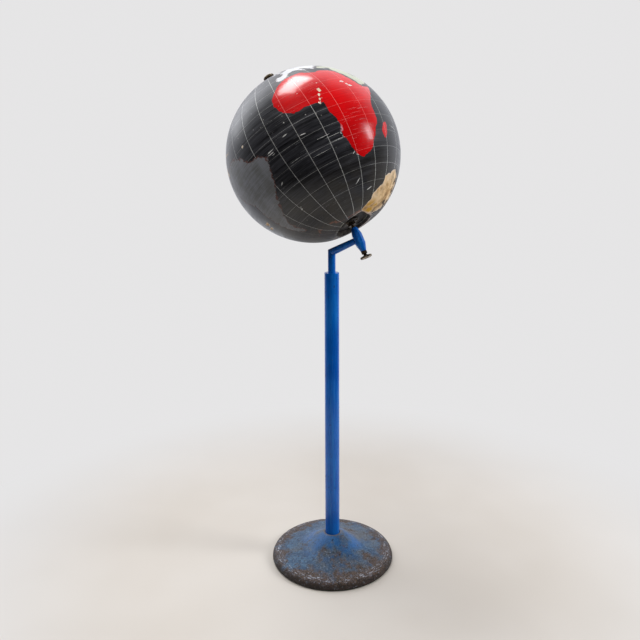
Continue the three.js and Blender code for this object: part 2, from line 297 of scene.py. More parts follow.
def turned_piece(name, profile, body, slot, *nodes, surface=None, **how):
    return finish_piece(turned(name, profile, **how), body, slot, *nodes, surface=surface)


def weld(made, distance=1e-6):
    """Merges points that lie on one another, such as a ring of no radius on the axis."""
    work = bmesh.new()
    work.from_mesh(made.data)
    bmesh.ops.remove_doubles(work, verts=work.verts, dist=distance)
    bmesh.ops.dissolve_degenerate(work, edges=work.edges, dist=distance)
    bmesh.ops.recalc_face_normals(work, faces=work.faces)
    work.to_mesh(made.data)
    work.free()


def circle(count):
    return np.arange(count) * 2 * pi / count


def ring(inner, outer, low, high):
    return [(inner, low), (outer, low), (outer, high), (inner, high)]


def scaled(profile):
    """A profile given in millimetres, in metres."""
    return [(r * MM, z * MM) for r, z in profile]


def bar_faces(rows, columns):
    """Quads between the rows of an open tube, and a flat face on each of its ends."""
    last = (rows - 1) * columns
    ends = [tuple(range(columns))[::-1], tuple(range(last, last + columns))]
    return [*loop_faces(rows, columns, closed_section=False), *ends]


def swept(name, path, radii, sides=48, crease=25):
    """A round bar along path, a list of points, with a radius for each angle at each point."""
    vertices = []
    side = Vector((0, 1, 0))
    angles = circle(sides)
    for i, point in enumerate(path):
        ahead = (path[min(i + 1, len(path) - 1)] - path[max(i - 1, 0)]).normalized()
        across = side.cross(ahead).normalized()
        up = ahead.cross(across)
        for t, r in zip(angles, radii(i, angles)):
            vertices.append(point + (across * cos(t) + up * sin(t)) * r)
    made = new_object(name, vertices, bar_faces(len(path), sides), UPRIGHT, crease)
    weld(made)
    return made


# ---- materials ---------------------------------------------------------------------------

BACKGROUND = (0.79, 0.785, 0.79)
FLOOR_RADIUS = 1.1
DEGREES = 180 / pi
MERIDIAN_STEP, PARALLEL_STEP = 15, 10  # degrees between the lines of the painted grid


def operator(operation):
    return lambda signal, *other: signal.graph.math(operation, signal, *other)


class Signal:
    """A node's output. Its operators add the Math nodes that a sum of signals needs."""

    __add__, __sub__, __mul__ = operator("ADD"), operator("SUBTRACT"), operator("MULTIPLY")
    __truediv__, __abs__ = operator("DIVIDE"), operator("ABSOLUTE")

    def __init__(self, graph, socket):
        self.graph, self.socket = graph, socket


class Graph:
    """A node tree being built: add() and what stands on it return a node's output."""

    def __init__(self, tree):
        self.tree = tree

    def add(self, kind, inputs=None, output=0, **settings):
        node = self.tree.nodes.new(kind)
        for key, value in settings.items():
            setattr(node, key, value)
        for key, value in (inputs or {}).items():
            if isinstance(value, Signal):
                self.tree.links.new(value.socket, node.inputs[key])
            else:
                node.inputs[key].default_value = value
        return Signal(self, node.outputs[output])

    def math(self, operation, a, b=0.0):
        return self.add("ShaderNodeMath", {0: a, 1: b}, operation=operation)

    def made(self, name):
        """The output of a node that came with the tree."""
        return Signal(self, self.tree.nodes[name].outputs[0])

    def show(self, shader, output):
        self.tree.links.new(shader.socket, self.tree.nodes[output].inputs["Surface"])


class Surface(Graph):
    """A material being built."""

    def __init__(self, name, values=None, own=False):
        self.material = bpy.data.materials.new(name)
        self.material.use_nodes = True
        super().__init__(self.material.node_tree)
        self.shader = self.tree.nodes["Principled BSDF"]
        for socket, value in (values or {}).items():
            self.shader.inputs[socket].default_value = value
        if own:
            self.place = self.add("ShaderNodeAttribute", output=1, attribute_name="own")
        else:
            self.place = self.add("ShaderNodeTexCoord", output=3)

    def axes(self):
        node = self.add("ShaderNodeSeparateXYZ", {0: self.place}).socket.node
        return [Signal(self, output) for output in node.outputs]

    def vector(self, x, y, z):
        return self.add("ShaderNodeCombineXYZ", {0: x, 1: y, 2: z})

    def ramp(self, value, low, high, start=0.0, end=1.0):
        """A smooth step from start to end as value goes from low to high."""
        return self.add(
            "ShaderNodeMapRange",
            {"Value": value, "From Min": low, "From Max": high, "To Min": start, "To Max": end},
            interpolation_type="SMOOTHSTEP",
        )

    def band(self, value, inner, outer):
        """Full where value is within inner of zero, and gone at outer."""
        return self.ramp(abs(value), inner, outer, 1.0, 0.0)

    def speckle(self, scale, detail=4.0, rough=0.55, vector=None):
        return self.add(
            "ShaderNodeTexNoise",
            {"Vector": vector or self.place, "Scale": scale, "Detail": detail, "Roughness": rough},
        )

    def patches(self, scale, detail, low, high, *ends, rough=0.55):
        """Noise drawn apart into patches by a ramp."""
        return self.ramp(self.speckle(scale, detail, rough), low, high, *ends)

    def pits(self, scale, inner, outer, where):
        """Small spots, one to a cell, full up to inner and gone at outer, where they are let."""
        cell = self.add("ShaderNodeTexVoronoi", {"Vector": self.place, "Scale": scale})
        return self.ramp(cell, inner, outer, 1.0, 0.0) * where

    def streaks(self, across, along, detail, rough):
        """Noise drawn out along Z."""
        spread = {"Vector": self.place, "Scale": (across, across, along)}
        return self.speckle(1.0, detail, rough, self.add("ShaderNodeMapping", spread))

    def paint(self, factor, under, over):
        """Colour over laid on colour under by factor."""
        sides = {0: factor}
        for index, colour in ((6, under), (7, over)):
            sides[index] = (*colour, 1) if isinstance(colour, tuple) else colour
        return self.add("ShaderNodeMix", sides, output=2, data_type="RGBA")

    def coats(self, colour, *layers):
        """A colour with each (factor, colour) laid over it in turn."""
        for factor, over in layers:
            colour = self.paint(factor, colour, over)
        return colour

    def level(self, factor, under, over):
        return self.add("ShaderNodeMix", {0: factor, 2: under, 3: over}, data_type="FLOAT")

    def finish(self, colour, roughness=None, relief=None, depth=0.0):
        """Joins what was built to the shader. Relief is from 0 to about 1, depth in metres."""
        bump = relief and self.add("ShaderNodeBump", {"Strength": 1.0, "Distance": depth, "Height": relief})
        for socket, signal in (("Base Color", colour), ("Roughness", roughness), ("Normal", bump)):
            if signal:
                self.tree.links.new(signal.socket, self.shader.inputs[socket])
        return self.material


def slate_ball_surface():
    """Blackboard paint with a painted map and grid, worn through to the plaster in places."""
    s = Surface("slate_ball_paint", own=True)
    x, y, z = s.axes()
    height = s.math("MAXIMUM", s.math("MINIMUM", z / GLOBE_RADIUS, 0.9999), -0.9999)
    shrink = s.math("SQRT", s.math("SUBTRACT", 1.0, height * height))
    north = s.math("ARCSINE", height) * DEGREES
    east = s.math("ARCTAN2", y, x) * DEGREES

    wander = (s.speckle(105, 6, 0.62) - 0.5) * 3.4
    grain = s.speckle(1500, 2)

    def attribute(name):
        return s.add("ShaderNodeAttribute", attribute_name=name, output=2)

    def land(name, ragged=1.0, soft=0.1):
        edge = attribute(name) + wander * ragged
        return edge, s.ramp(edge, -soft, soft)

    # Brush strokes and rubbing run along the parallels, so their noise is long in that direction.
    reach = s.math("MAXIMUM", shrink * GLOBE_RADIUS, 0.001)
    around_x, around_y = x / reach, y / reach

    def brushed(scale, length, detail=4.0, rough=0.6):
        """Noise drawn out along the parallels; scale is per degree north."""
        return s.speckle(1.0, detail, rough, s.vector(around_x * length, around_y * length, north * scale))

    strokes = brushed(2.0, 3.0, 5.0, 0.68)
    hairs = brushed(5.5, 5.0, 3.0)
    bright_hair = s.ramp(hairs, 0.64, 0.71) * s.patches(13, 3, 0.46, 0.62)
    dark_hair = s.ramp(hairs, 0.36, 0.29) * s.patches(10, 3, 0.4, 0.6)
    tone = brushed(0.45, 1.3) * 0.4 + strokes * 0.6

    # The grid, in a thin whitish paint.
    wobble = (s.speckle(30, 2) - 0.5) * 0.1
    from_meridian = s.math("PINGPONG", east, MERIDIAN_STEP / 2) * shrink + wobble
    from_parallel = s.math("PINGPONG", north, PARALLEL_STEP / 2) + wobble
    broken = s.patches(420, 2, 0.33, 0.55, 0.4, 1.0)
    meridians = s.ramp(from_meridian, 0.04, 0.16, 1.0, 0.0) * broken
    parallels = s.ramp(from_parallel, 0.03, 0.14, 1.0, 0.0) * broken
    rubbed = s.ramp(strokes, 0.3, 0.6, 0.35, 1.0) * s.ramp(abs(north), 48, 58, 1.0, 0.12)
    parallels = parallels * (rubbed * 0.55)
    west_wear = s.ramp(east, -78, -52, 0.2, 1.0)
    line = s.math("MAXIMUM", meridians, parallels) * west_wear

    # The black ground, browner to the south, with the far south's stains.
    southern = s.ramp(north, -22, -60, 0.0, 0.9) * s.patches(15, 5, 0.32, 0.62)
    edge, polar = land("polar", 2.4, 0.5)
    rust_line = s.band(edge, 0.3, 1.1) * s.patches(40, 3, 0.48, 0.58)
    colour = s.coats(
        (0.003, 0.003, 0.004),
        (s.ramp(tone, 0.41, 0.61), (0.04, 0.04, 0.047)),
        (southern, (0.04, 0.034, 0.024)),
        (dark_hair * 0.8, (0.003, 0.003, 0.003)),
        (s.ramp(grain, 0.55, 0.75) * 0.3, (0.075, 0.075, 0.08)),
        (polar * 0.4, (0.055, 0.046, 0.037)),
        (rust_line * 0.85, (0.22, 0.085, 0.045)),
        (line * 0.95, (0.72, 0.72, 0.69)),
    )

    # The lands in dull paints, each with a brown outline: bright and worn colours.
    tints = {
        "ochre": ((0.42, 0.27, 0.08), (0.3, 0.19, 0.07)),
        "rose": ((0.3, 0.12, 0.09), (0.2, 0.085, 0.07)),
        "white": ((0.68, 0.69, 0.71), (0.46, 0.48, 0.5)),
        "sage": ((0.47, 0.5, 0.37), (0.36, 0.38, 0.29)),
        "slate": ((0.205, 0.212, 0.232), (0.13, 0.13, 0.128)),
    }
    worn = s.ramp(strokes * 0.5 + s.speckle(24, 5) * 0.5, 0.4, 0.6)
    masks = {}
    for name, (bright, dull) in tints.items():
        slate = name == "slate"
        edge, masks[name] = land(name, 2.2 if slate else 1.1)
        tint = s.paint(worn, dull, bright)
        if slate:
            gouge = s.pits(38, 0.1, 0.16, s.patches(21, 2, 0.56, 0.62))
            tint = s.coats(tint, (bright_hair * 0.5, (0.2, 0.205, 0.215)), (gouge, (0.012, 0.011, 0.011)))
        border = s.band(edge - 0.05, 0.16, 0.55) * s.patches(55, 3, 0.36, 0.52, 0.35, 1.0)
        colour = s.coats(colour, (masks[name], tint), (border * (0.95 if slate else 0.45), (0.105, 0.036, 0.024)))

    # Africa in glossy red, scuffed pink along its south-west coast, then scratches and pinholes.
    edge, masks["red"] = land("red", 0.85, 0.07)
    red = s.coats(
        (0.68, 0.0015, 0.003),
        (s.patches(11, 4, 0.35, 0.7), (0.55, 0.001, 0.002)),
        (s.ramp(strokes, 0.48, 0.66) * 0.5, (0.36, 0.0, 0.003)),
    )
    south_west = s.ramp(north, -11, -14) * s.ramp(north, -23, -19) * s.ramp(east, 16, 12)
    scuffed = south_west * s.patches(45, 4, 0.42, 0.55)
    colour = s.coats(
        colour,
        (masks["red"], red),
        (line * masks["red"] * 0.55, (0.92, 0.4, 0.38)),
        (line * masks["slate"] * 0.22, (0.36, 0.36, 0.36)),
        (s.band(edge, 0.2, 1.1) * scuffed * 0.75, (0.72, 0.42, 0.47)),
        (bright_hair * 0.55, (0.5, 0.5, 0.52)),
        (s.pits(70, 0.05, 0.11, s.patches(9, 3, 0.5, 0.62)) * 0.6, (0.44, 0.43, 0.38)),
    )

    # Bare plaster: tan, with yellow spots, dark mottling to the east that is painted shade along the torn eastern
    # edge, and pale primer at the torn edge.
    edge, bare = land("bare", 1.0, 0.06)
    fibre = s.speckle(60, 6, 0.62)
    plaster = s.coats(
        (0.4, 0.225, 0.085),
        (s.ramp(fibre, 0.34, 0.62), (0.8, 0.56, 0.3)),
        (s.patches(17, 3, 0.45, 0.62, 0.0, 0.6), (0.88, 0.7, 0.48)),
        (s.patches(30, 3, 0.52, 0.6) * s.ramp(north, -60, -67), (0.56, 0.3, 0.03)),
        # Dark mottling to the east: painted shade along the torn eastern edge.
        (s.patches(48, 5, 0.5, 0.6, rough=0.65) * s.ramp(east, 54, 74), (0.035, 0.018, 0.01)),
        (s.ramp(north, -20, -24, 0.9, 0.0), (0.74, 0.62, 0.36)),
        (s.ramp(edge, 0.75, 0.25, 0.0, 0.85), (0.74, 0.63, 0.54)),
    )
    # A near-black line just outside the bare patch: painted shadow of the torn paint edge.
    torn_edge_shadow = s.band(edge + 0.3, 0.08, 0.42) * s.ramp(north, -40, -44)

    # The torn rim of the south opening, and the wall turned in behind it, painted near-black as dirt and as the
    # shade inside the opening.
    torn = s.ramp(attribute("rim") + wander * 0.45, 1.3, 0.6) * s.patches(34, 4, 0.4, 0.5)
    torn_tint = s.paint(s.ramp(east, -20, 8), (0.22, 0.21, 0.17), (0.52, 0.4, 0.33))
    wall = s.ramp(attribute("wall"), 0.1, 0.3)
    glue = s.ramp(attribute("wall"), 0.72, 0.95) * s.ramp(abs(east - 130), 55, 30)
    # Near-black wall and inner shell: dirt, and painted shade of the inside of the opening.
    dirt_and_shade = s.coats(
        (0.016, 0.013, 0.011),
        (s.ramp(fibre, 0.35, 0.65), (0.075, 0.062, 0.05)),
        (glue * 0.85, (0.3, 0.29, 0.22)),
    )
    colour = s.coats(
        colour, (bare, plaster), (torn_edge_shadow * 0.9, (0.005, 0.004, 0.004)), (torn * 0.8, torn_tint), (wall, dirt_and_shade),
    )

    roughness = s.ramp(tone, 0.35, 0.65, 0.27, 0.46)
    for mask, value in (
        *((masks[name], 0.36) for name in ("ochre", "rose", "white", "sage")),
        (masks["slate"], 0.48),
        (s.ramp(north, -35, -62, 0.0, 0.75), 0.68),
        (masks["red"], s.ramp(strokes + hairs, 0.82, 1.18, 0.09, 0.25)),
        (s.math("MAXIMUM", bare, wall), 0.9),
    ):
        roughness = s.level(mask, roughness, value)
    relief = (s.speckle(26, 3) - 0.5) * 0.9 + strokes * 0.22 + grain * 0.05 + fibre * bare * 2.4
    return s.finish(colour, roughness, relief, 0.0003)


def blue_enamel_surface():
    """Glossy blue paint, a little lighter in vertical runs that are also painted streak highlights, and chipped to
    dark metal.
    """
    s = Surface("blue_enamel", {"Specular IOR Level": 0.32, "Coat Weight": 0.12, "Coat Roughness": 0.08})
    runs_and_sheen = s.streaks(130, 7, 4, 0.6)
    chip = s.patches(170, 3, 0.65, 0.69) * s.patches(18, 2, 0.48, 0.56)
    colour = s.coats(
        (0.0004, 0.084, 0.41),
        (s.patches(14, 4, 0.3, 0.7), (0.002, 0.134, 0.54)),
        # Lighter vertical streaks: paint runs and painted streak highlights along the post and arm.
        (s.ramp(runs_and_sheen, 0.48, 0.72, 0.0, 0.5), (0.018, 0.22, 0.6)),
        (chip * 0.8, (0.018, 0.015, 0.016)),
    )
    roughness = s.level(chip, s.ramp(runs_and_sheen, 0.3, 0.8, 0.22, 0.42), 0.7)
    return s.finish(colour, roughness, s.speckle(260, 3) * 0.3 + chip * -0.6 + runs_and_sheen * 0.5, 0.0003)


def worn_base_surface():
    """Old blue paint on cast iron, dulled, rusted through and chipped along the shoulder, where the pale scrapes
    are bare metal and also a painted highlight on the crest.
    """
    s = Surface("worn_base_paint", {"Specular IOR Level": 0.4})
    x, y, _ = s.axes()
    reach = s.math("SQRT", x * x + y * y)
    big = s.speckle(12, 6, 0.66)
    mottle = s.speckle(46, 7, 0.72)
    fine = s.speckle(210, 4, 0.65)
    grit = s.speckle(620, 3, 0.6)
    granules = s.speckle(270, 3, 0.6)

    near_post = s.ramp(reach, 0.05, 0.092, 0.9, 0.0) * s.ramp(big, 0.35, 0.55, 1.0, 0.35)
    dusty = s.paint(s.ramp(fine, 0.38, 0.62), (0.026, 0.033, 0.04), (0.085, 0.095, 0.108))
    rust = s.paint(s.ramp(grit, 0.38, 0.62), (0.018, 0.011, 0.007), (0.135, 0.074, 0.036))
    outward = s.ramp(reach, 0.09, 0.142, 0.0, 0.15)
    rusty = s.speckle(19, 6, 0.7) * 0.7 + mottle * 0.3 + outward + (fine - 0.5) * 0.12
    rust_mask = s.ramp(rusty, 0.53, 0.63, 0.0, 0.85)
    edge_band = s.ramp(reach + (mottle - 0.5) * 0.03, 0.138, 0.147)
    scrapes = s.speckle(1.0, 6, 0.72, s.vector(x / reach * 7.0, y / reach * 7.0, reach * 420.0))
    crest_scrape_and_highlight = s.band(reach - 0.132, 0.003, 0.01) * s.ramp(scrapes, 0.53, 0.6) * s.ramp(fine, 0.4, 0.52)
    dark_grain = s.ramp(granules, 0.5, 0.4) * s.ramp(mottle, 0.4, 0.6, 0.3, 0.7)
    pale_grain = s.ramp(granules, 0.55, 0.66) * s.ramp(mottle, 0.4, 0.6, 0.6, 0.25)
    pale_chip = s.pits(150, 0.1, 0.2, s.patches(22, 4, 0.52, 0.62))
    collar = s.ramp(reach, 0.0245, 0.0195) * s.ramp(fine, 0.3, 0.55, 0.5, 1.0)
    colour = s.coats(
        (0.008, 0.04, 0.095),
        (s.ramp(mottle, 0.41, 0.59), (0.038, 0.115, 0.215)),
        (near_post, (0.01, 0.1, 0.3)),
        (s.ramp(big + mottle * 0.6, 0.74, 0.96, 0.0, 0.85), dusty),
        (rust_mask, rust),
        (edge_band * 0.88, (0.026, 0.018, 0.014)),
        # Pale band on the shoulder's crest: bare-metal scrapes and a painted highlight.
        (crest_scrape_and_highlight * 0.85, (0.42, 0.46, 0.54)),
        (dark_grain * s.ramp(reach, 0.05, 0.08, 0.5, 1.0), (0.01, 0.01, 0.013)),
        (pale_grain * s.ramp(reach, 0.06, 0.1, 0.3, 1.0), (0.13, 0.155, 0.19)),
        (s.patches(150, 4, 0.6, 0.66, rough=0.6) * 0.75, (0.01, 0.01, 0.012)),
        (pale_chip * 0.55, (0.33, 0.38, 0.47)),
        (collar * 0.8, (0.15, 0.125, 0.1)),
    )
    roughness = s.level(rust_mask, s.ramp(fine, 0.3, 0.7, 0.36, 0.55), 0.74)
    return s.finish(colour, roughness, mottle + grit * 0.35 + rust_mask * -0.6, 0.0007)


def metal_surface(name, bright, dark, roughness, metallic=0.9):
    """A metal with a patina: bright where it is rubbed and dark in the grain."""
    s = Surface(name, {"Metallic": metallic})
    tone = s.speckle(120, 5, 0.6)
    colour = s.paint(s.ramp(tone, 0.38, 0.62), dark, bright)
    return s.finish(colour, s.ramp(tone, 0.3, 0.7, roughness + 0.18, roughness), s.speckle(720, 3), 0.00005)


def wood_surface(name, pale, deep, roughness=0.6):
    """Wood with its grain along Z."""
    s = Surface(name, {"Roughness": roughness})
    grain = s.streaks(220, 14, 5, 0.6)
    pores = s.ramp(s.streaks(900, 60, 2, 0.5), 0.6, 0.72, 0.0, 0.5)
    return s.finish(s.coats(deep, (s.ramp(grain, 0.3, 0.7), pale), (pores, deep)), None, grain, 0.0002)


def dull_surface(name, roughness, specular, nap, dark, pale, depth):
    """A dull surface of one grain, such as baize or chalk dust."""
    s = Surface(name, {"Roughness": roughness, "Specular IOR Level": specular})
    grain = s.speckle(*nap)
    return s.finish(s.paint(s.ramp(grain, 0.35, 0.65), dark, pale), None, grain, depth)


def floor_surface():
    """A plain pale floor that runs out into the pale of the background."""
    s = Surface("pale_floor", {"Roughness": 0.6, "Specular IOR Level": 0.25})
    x, y, _ = s.axes()
    reach = s.math("SQRT", x * x + y * y)
    s.finish(s.paint(s.patches(1.6, 3, 0.3, 0.7), (0.53, 0.485, 0.43), (0.58, 0.54, 0.49)))
    far = s.add("ShaderNodeEmission", {"Color": (*BACKGROUND, 1)})
    fade = s.ramp(reach, 0.4, 0.97 * FLOOR_RADIUS)
    s.show(s.add("ShaderNodeMixShader", {0: fade, 1: s.made("Principled BSDF"), 2: far}), "Material Output")
    return s.material


SURFACES = {
    "slate_ball": slate_ball_surface(),
    "blue_paint": blue_enamel_surface(),
    "worn_base": worn_base_surface(),
    "bronze": metal_surface("tarnished_bronze", (0.46, 0.38, 0.27), (0.1, 0.075, 0.055), 0.34),
    # Very dark steel: a dark finish, kept darker still as painted shade on the hardware inside the south opening.
    "hardware_steel": metal_surface("dark_steel_and_shade", (0.1, 0.072, 0.05), (0.025, 0.018, 0.014), 0.42, 0.8),
    # The plate inside the south opening: dark wood, darkened further as painted shade.
    "pole_plate": wood_surface("dark_wood_and_shade", (0.05, 0.042, 0.036), (0.018, 0.015, 0.013), 0.85),
    "inner_wood": wood_surface("bare_beech", (0.5, 0.34, 0.19), (0.32, 0.2, 0.1)),
    "baize": dull_surface(
        "green_baize", 0.95, 0.2, (900, 4, 0.7), (0.012, 0.035, 0.018), (0.03, 0.075, 0.04), 0.0005,
    ),
}
# Very dark bronze for the bush inside the south opening: painted shade.
SHADE_DARK_BRONZE = metal_surface("shade_dark_bronze", (0.07, 0.055, 0.04), (0.02, 0.016, 0.012), 0.6, 0.5)
CHALK = dull_surface(
    "chalk_and_scratches", 0.85, 0.3, (700, 3, 0.7), (0.48, 0.48, 0.46), (0.86, 0.86, 0.83), 0.0001,
)

# ---- the ball ----------------------------------------------------------------------------


def rounded_outline(points):
    """The outline with every corner cut once, at a quarter of each side."""
    result = []
    for (x0, y0), (x1, y1) in zip(points, points[1:] + points[:1]):
        result += [(0.75 * x0 + 0.25 * x1, 0.75 * y0 + 0.25 * y1), (0.25 * x0 + 0.75 * x1, 0.25 * y0 + 0.75 * y1)]
    return result


def inside_distance(east, north, outline):
    """Degrees from each point to the outline, positive inside it, clipped at FARTHEST."""
    result = np.full(east.shape, -FARTHEST)
    points = np.array(outline, float)
    low, high = points.min(0) - FARTHEST, points.max(0) + FARTHEST
    wide = FARTHEST / np.maximum(np.cos(np.radians(north)), 0.05) + 1
    near = (north > low[1]) & (north < high[1])
    near &= (east > points[:, 0].min() - wide) & (east < points[:, 0].max() + wide)
    x, y = east[near], north[near]
    shrink = np.cos(np.radians(y))
    nearest = np.full(x.shape, FARTHEST)
    inside = np.zeros(x.shape, bool)
    for (x0, y0), (x1, y1) in zip(points, np.roll(points, -1, 0)):
        ax, ay = (x0 - x) * shrink, y0 - y
        sx, sy = (x1 - x0) * shrink, y1 - y0
        length = np.maximum(sx * sx + sy * sy, 1e-12)
        t = np.clip(-(ax * sx + ay * sy) / length, 0, 1)
        nearest = np.minimum(nearest, np.hypot(ax + t * sx, ay + t * sy))
        if y0 != y1:
            inside ^= ((y0 > y) != (y1 > y)) & (x < (x1 - x0) * (y - y0) / (y1 - y0) + x0)
    result[near] = np.where(inside, nearest, -nearest)
    return result


def land_distances(east, north):
    result = {}
    for name, outlines in LANDS.items():
        shapes = outlines if name in SHARP else [rounded_outline(o) for o in outlines]
        result[name] = np.max([inside_distance(east, north, shape) for shape in shapes], axis=0)
    return result


def rough(points, scale, depth):
    """Smooth noise at each point, the same in each run, from -depth to depth."""
    return np.array([noise.noise(Vector(p) * scale) for p in points]) * depth


# The south opening's radius in millimetres by its bearing in degrees east.
OPENING = [
    (-180, 52), (-150, 50), (-113, 43), (-74, 42), (-54, 44), (-34, 48), (-14, 52), (0, 55),
    (11, 59), (18, 61), (27, 56), (42, 48), (56, 45), (80, 46), (110, 48), (135, 51), (180, 52),
]
SINK_FROM, SINK_TO = 90 * MM, 50 * MM  # from the polar axis
SINK_DEPTH, SINK_TILT, DEEPEST_EAST = 4.2, 1.6, 75  # millimetres, and degrees


def sunken(reach, east):
    """How far the shell has sunk towards the middle at this distance from the polar axis."""
    deepest = (SINK_DEPTH + SINK_TILT * np.cos(np.radians(east - DEEPEST_EAST))) * MM
    share = np.clip((SINK_FROM - reach) / (SINK_FROM - SINK_TO), 0, 1)
    return deepest * share * share * (3 - 2 * share)


# The wall turned in behind the south opening's rim, ring by ring: how far inside the rim it
# is (millimetres), its share of the way to the wall's foot, and how much of the near-black wall paint (dirt and
# painted shade) it takes.
TURNED_IN = [
    (1.2, 0.06, 0.35), (3.0, 0.4, 0.6), (4.6, 0.75, 0.8), (5.4, 1.0, 1.0), (2.0, 1.0, 1.0),
    (-3.5, 0.55, 1.0),
]
WALL_FOOT = 180.4 * MM  # below the middle of the ball, on the wooden plate
INNER_ROWS = 24
PAINT_THICKNESS = 0.12 * MM
PLASTER_DEPTH = 0.8 * MM


def ball_half(name, node, sign, rows, columns=360):
    """One half of the ball: a shell with its map, its worn spots and the hole at its pole."""
    south = sign < 0
    east = np.arange(columns) * 360 / columns - 180
    hole = inner_hole = np.full(columns, NORTH_HOLE)
    if south:
        around = np.stack([np.cos(np.radians(east)), np.sin(np.radians(east)), 0 * east], -1)
        hole = np.interp(east, *np.array(OPENING).T) * MM
        hole = hole + rough(around, 9, 0.9 * MM) + rough(around, 31, 0.5 * MM)
        inner_hole = hole + 6 * MM

    def shell(radius, pole_reach, count):
        """Ring radii and depths from the equator to a hole of radius pole_reach."""
        latitude = np.linspace(0, 1, count)[:, None] * np.arccos(pole_reach / radius)
        reach, depth = radius * np.cos(latitude), radius * np.sin(latitude)
        return reach, depth - (sunken(reach, east) if south else 0)

    reach, depth = shell(GLOBE_RADIUS, hole, rows)
    back_reach, back_depth = shell(GLOBE_RADIUS - SHELL_WALL, inner_hole, INNER_ROWS)
    turned_in, rim = TURNED_IN if south else [], depth[-1]
    wall_reach = [hole - inward * MM for inward, _, _ in turned_in]
    wall_depth = [rim + (WALL_FOOT - rim) * share for _, share, _ in turned_in]
    reach = np.vstack([reach, *wall_reach, back_reach[::-1]])
    depth = np.vstack([depth, *wall_depth, back_depth[::-1]])
    dirt_and_shade = [0.0] * rows + [darkness for _, _, darkness in turned_in] + [float(south)] * INNER_ROWS

    bearing = np.radians(east)[None]
    points = np.stack([reach * np.cos(bearing), reach * np.sin(bearing), sign * depth], -1).reshape(-1, 3)
    easts = np.degrees(np.arctan2(points[:, 1], points[:, 0]))
    norths = np.degrees(np.arcsin(points[:, 2] / np.linalg.norm(points, axis=1)))
    marks = land_distances(easts, norths)
    from_hole = np.degrees((reach - hole) / GLOBE_RADIUS).ravel() if south else np.full(len(points), 90.0)
    marks["rim"] = np.clip(from_hole, 0, 90)
    marks["wall"] = np.repeat(dirt_and_shade, columns)

    outside = np.arange(len(points)) < rows * columns
    sunk = np.clip((marks["bare"] + rough(points, 45, 0.6)) / 0.5, 0, 1) * outside
    raised = np.clip((marks["red"] + 0.2) / 0.4, 0, 1) * outside
    lift = raised * PAINT_THICKNESS - sunk * (PLASTER_DEPTH + rough(points, 120, 0.35 * MM))
    points *= (1 + lift / GLOBE_RADIUS)[:, None]

    faces = loop_faces(len(reach), columns)
    made = new_object(name, points, faces[:, ::-1] if south else faces, MAP, 50)
    for mark, value in marks.items():
        attribute = made.data.attributes.new(mark, "FLOAT", "POINT")
        attribute.data.foreach_set("value", value.astype(np.float32))
    return finish_piece(made, "globe", "slate_ball", node)


def stroke_marks():
    """Chalk strokes and scratches, each a thin closed blister of dust on the paint."""
    vertices, faces = [], []
    around, across = 26, 4
    foot, thickness = 0.14 * MM, 0.09 * MM
    random.seed(11)
    for east, north, length, width, slope in STROKES:
        e, n = radians(east), radians(north)
        direction = Vector((cos(n) * cos(e), cos(n) * sin(e), sin(n)))
        centre = direction * (GLOBE_RADIUS + 0.02 * MM)
        up = centre.normalized()
        easting = Vector((0, 0, 1)).cross(up).normalized()
        northing = up.cross(easting)
        along = (easting + northing * slope).normalized()
        aside = up.cross(along)
        half_length = radians(length) * GLOBE_RADIUS / 2
        half_width = radians(width) * GLOBE_RADIUS / 2
        first = len(vertices)
        ragged = [random.uniform(0.6, 1.15) for _ in range(around)]
        for layer in range(across + 1):
            share = cos(layer / across * pi / 2)
            lift = sin(layer / across * pi / 2) * thickness
            for i in range(around):
                t = i / around * 2 * pi
                r = share * ragged[i]
                p = centre + along * (half_length * r * cos(t)) + aside * (half_width * r * sin(t))
                vertices.append(p.normalized() * (GLOBE_RADIUS + foot + lift))
        faces += list(loop_faces(across + 1, around, closed_section=False) + first)
        faces.append(tuple(first + i for i in range(around))[::-1])
    made = new_object("chalk_marks", vertices, faces, MAP, 80)
    weld(made, 1e-7)
    return finish_piece(made, "globe", "slate_ball", surface=CHALK)


BORE = 4.35  # millimetres: the radius of the holes that the axle goes through


def build_ball():
    ball_half("south_ball", "south_shell", -1, 80)
    ball_half("north_ball", "north_shell", 1, 88)
    stroke_marks()

    bush = scaled([(BORE, -182.5), (20, -182.5), (20, -179.5), (8, -179.5), (8, -162), (BORE, -162)])
    turned_piece("south_bush_turned", bush, "globe", "bronze", "south_bush", surface=SHADE_DARK_BRONZE, place=POLAR)
    plate = scaled(ring(8.3, 66, -179.2, -167.2))
    turned_piece("south_plate_turned", plate, "globe", "pole_plate", "south_plate", place=POLAR, soft=0.8 * MM)
    hub = scaled([
        (BORE, 160), (8, 160), (8, 200.4), (20, 200.4), (20, 203.4), (11.5, 205.6), (8.6, 210),
        (7.8, 216), (8.8, 222), (10, 225.4), (BORE, 225.4),
    ])
    turned_piece("north_hub_turned", hub, "globe", "bronze", "north_hub", place=POLAR, soft=0.7 * MM)


# ---- the stand ---------------------------------------------------------------------------


def cast(x, y, z):
    """Slight unevenness of a casting, and dents knocked into its rim."""
    points = np.stack([x, y, z], -1).reshape(-1, 3)
    reach = np.hypot(points[:, 0], points[:, 1])
    free = (reach > 19 * MM) & (points[:, 2] > 3 * MM)
    swell = rough(points, 28, 0.35 * MM) + rough(points, 90, 0.18 * MM)
    rim = np.clip((reach - 120 * MM) / (20 * MM), 0, 1)
    dents = np.minimum(rough(points, 55, 1.0) + 0.25, 0) * rim * 1.6 * MM
    shift = np.where(free, swell + dents, 0)
    inward = shift / np.maximum(reach, 1e-6)
    points[:, :2] *= (1 + np.minimum(inward, 0))[:, None]
    points[:, 2] += np.where(free, shift * 0.5, 0)
    return (points[:, i].reshape(x.shape) for i in range(3))


def nap(x, y, z):
    """The slightly uneven edge of cut baize."""
    ruffle = 1 + rough(np.stack([x, y, z], -1).reshape(-1, 3), 400, 0.003).reshape(x.shape)
    return x * ruffle, y * ruffle, z


